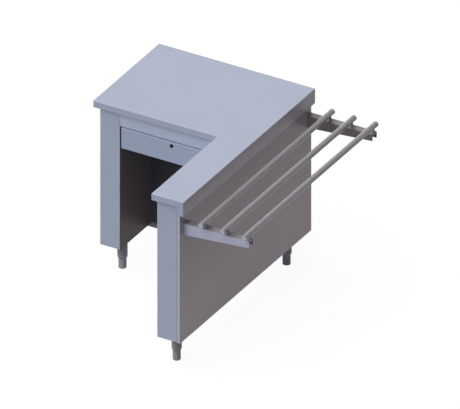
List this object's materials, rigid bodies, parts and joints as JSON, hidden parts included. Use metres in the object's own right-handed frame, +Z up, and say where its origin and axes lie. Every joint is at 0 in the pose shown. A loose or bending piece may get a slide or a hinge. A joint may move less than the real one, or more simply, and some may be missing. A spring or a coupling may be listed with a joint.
{
  "type": "cashier counter module",
  "caption": "L shaped steel counter on boxed walls, with a lockable drawer over the knee space, an apron, a tubular tray slide and adjustable feet.",
  "frame": {"origin": "on the floor, under the middle of the outline of the whole object", "axes": "+X from the cashier's edge to the customers' side, +Y from the near end to the far end along the tray slide, +Z up"},
  "size_m": [1.152, 1.2, 0.9],
  "materials": {
    "worktop_steel": "satin",
    "wall_steel": "satin",
    "panel_steel": "satin",
    "inner_steel": "satin",
    "drawer_steel": "satin",
    "tube_steel": "satin polished",
    "bracket_steel": "satin",
    "leg_steel": "satin",
    "zinc_plate": "zinc plated",
    "lock_black": "black satin",
    "core_board": "chipboard",
    "collar_plastic": "grey plastic"
  },
  "bodies": {
    "carcass": {"worktop_skin": "worktop_steel", "apron_end_caps": "worktop_steel", "long_stiffeners": "inner_steel", "cross_stiffeners": "inner_steel", "left_wall_shell": "wall_steel", "left_wall_lining": "wall_steel", "left_base_pan": "inner_steel", "left_posts": "inner_steel", "arm_wall_shell": "wall_steel", "arm_base_pan": "inner_steel", "arm_posts": "inner_steel", "customer_panel": "panel_steel", "panel_core": "core_board", "back_panel": "wall_steel", "back_panel_rivets": "zinc_plate", "front_rail": "wall_steel", "rear_rail": "wall_steel", "runner_outer_left": "zinc_plate", "runner_outer_right": "zinc_plate", "wall_rivets": "zinc_plate", "bracket_near": "bracket_steel", "bracket_far": "bracket_steel", "bracket_bolts": "zinc_plate", "tray_tube_inner": "tube_steel", "tray_tube_middle": "tube_steel", "tray_tube_outer": "tube_steel", "tube_end_discs": "tube_steel", "tube_pins": "tube_steel", "pin_washers": "zinc_plate", "pin_screws": "zinc_plate", "leg_sleeves": "leg_steel", "leg_collars": "collar_plastic", "leg_nuts": "zinc_plate"},
    "drawer": {"drawer_front": "drawer_steel", "front_struts": "inner_steel", "drawer_box": "drawer_steel", "drawer_screws": "zinc_plate", "box_rivets": "zinc_plate", "runner_inner_left": "zinc_plate", "runner_inner_right": "zinc_plate", "lock_barrel": "lock_black", "lock_nut": "zinc_plate"},
    "runner_middles": {"runner_middle_left": "zinc_plate", "runner_middle_right": "zinc_plate"},
    "lock": {"lock_plug": "lock_black", "lock_cam": "zinc_plate", "cam_screw": "zinc_plate"},
    "foot_arm_near": {"foot_arm_near": "leg_steel"},
    "foot_arm_far": {"foot_arm_far": "leg_steel"},
    "foot_left_near": {"foot_left_near": "leg_steel"},
    "foot_left_far": {"foot_left_far": "leg_steel"}
  },
  "joints": [
    {"name": "drawer_slide", "type": "slide", "parent": "carcass", "child": "drawer", "axis": [0, -1, 0], "range_m": [0, 0.38]},
    {"name": "runner_middle_slide", "type": "slide", "parent": "carcass", "child": "runner_middles", "axis": [0, -1, 0], "range_m": [0, 0.19]},
    {"name": "lock_turn", "type": "hinge", "parent": "drawer", "child": "lock", "pos_m": [-0.1705, 0.011, 0.773], "axis": [0, 1, 0], "range_deg": [0, 90]},
    {"name": "foot_arm_near_adjust", "type": "slide", "parent": "carcass", "child": "foot_arm_near", "axis": [0, 0, -1], "range_m": [0, 0.045]},
    {"name": "foot_arm_far_adjust", "type": "slide", "parent": "carcass", "child": "foot_arm_far", "axis": [0, 0, -1], "range_m": [0, 0.045]},
    {"name": "foot_left_near_adjust", "type": "slide", "parent": "carcass", "child": "foot_left_near", "axis": [0, 0, -1], "range_m": [0, 0.045]},
    {"name": "foot_left_far_adjust", "type": "slide", "parent": "carcass", "child": "foot_left_far", "axis": [0, 0, -1], "range_m": [0, 0.045]}
  ],
  "couplings": [
    {"joint": "runner_middle_slide", "follows": "drawer_slide", "ratio": 0.5}
  ]
}
